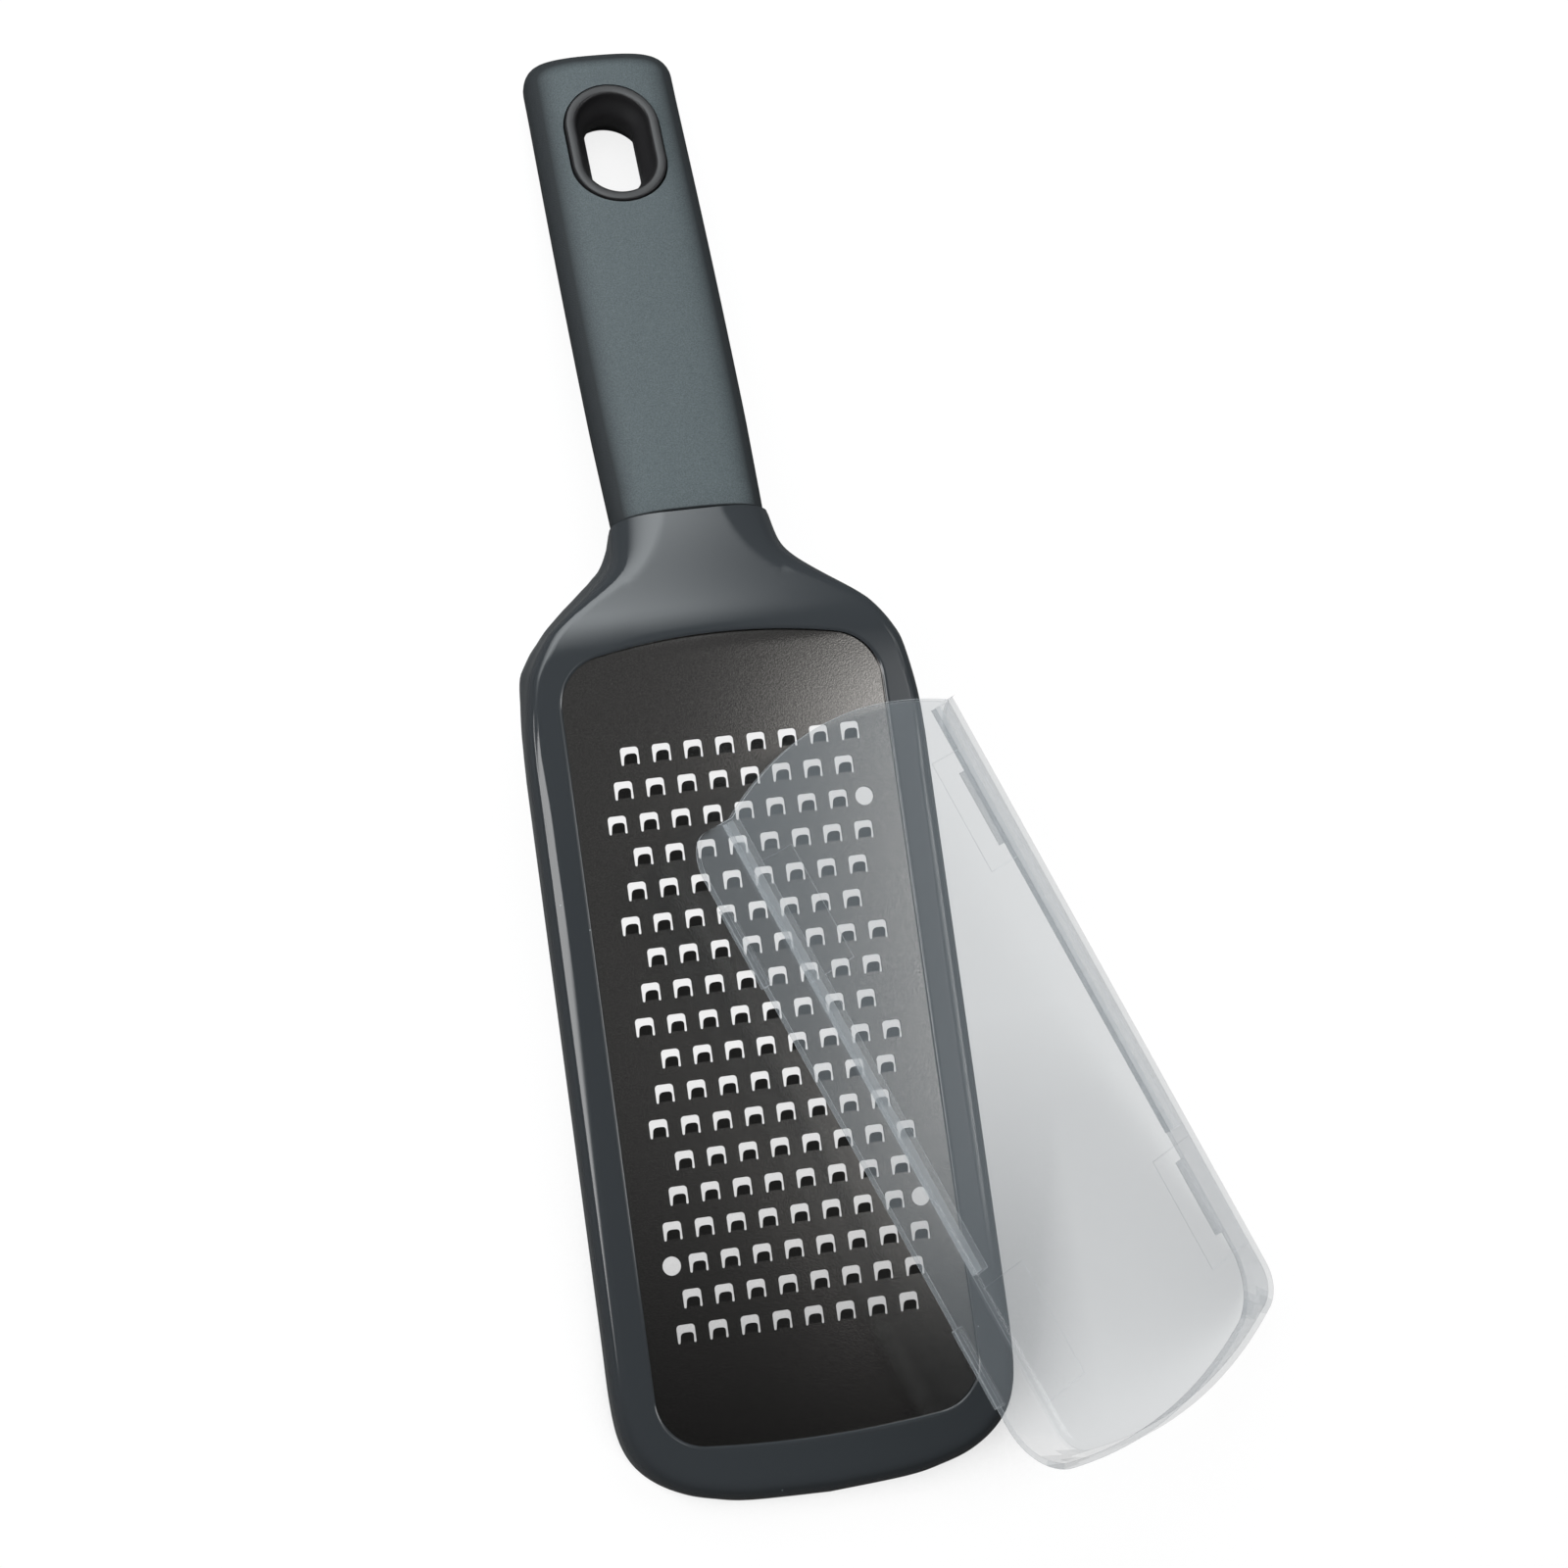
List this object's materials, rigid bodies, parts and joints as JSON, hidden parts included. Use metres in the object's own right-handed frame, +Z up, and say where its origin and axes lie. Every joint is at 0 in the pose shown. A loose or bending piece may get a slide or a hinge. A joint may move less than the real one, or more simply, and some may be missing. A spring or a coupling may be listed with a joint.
{
  "type": "hand grater",
  "caption": "Flat hand grater with a framed etched steel sheet, a bent handle with a lined hanging hole and a loose clear clip-on cover.",
  "frame": {"origin": "on the table, under the centre of the whole set's bounding box", "axes": "+Y along the grater toward the handle, +X across the head to the right as seen from the cutting side, +Z up from the table, cutting side up"},
  "size_m": [0.1282, 0.2901, 0.063],
  "materials": {
    "gloss_grey_plastic": "smooth glossy moulding, dark blue-grey",
    "etched_steel": "dark satin etched sheet with a fine grain",
    "soft_grey_grip": "matte soft-touch skin with a fine speckle, blue-grey",
    "dark_liner": "smooth dark grey ring",
    "clear_plastic": "clear moulded plastic with a faint blue tint"
  },
  "bodies": {
    "grater": {"head_frame": "gloss_grey_plastic", "blade": "etched_steel", "handle_grip": "soft_grey_grip", "hanging_hole_liner": "dark_liner"},
    "cover": {"blade_cover": "clear_plastic"}
  },
  "joints": [
    {"name": "cover_lift", "type": "slide", "parent": "grater", "child": "cover", "axis": [0, 0, 1], "range_m": [0, 0.12]}
  ]
}
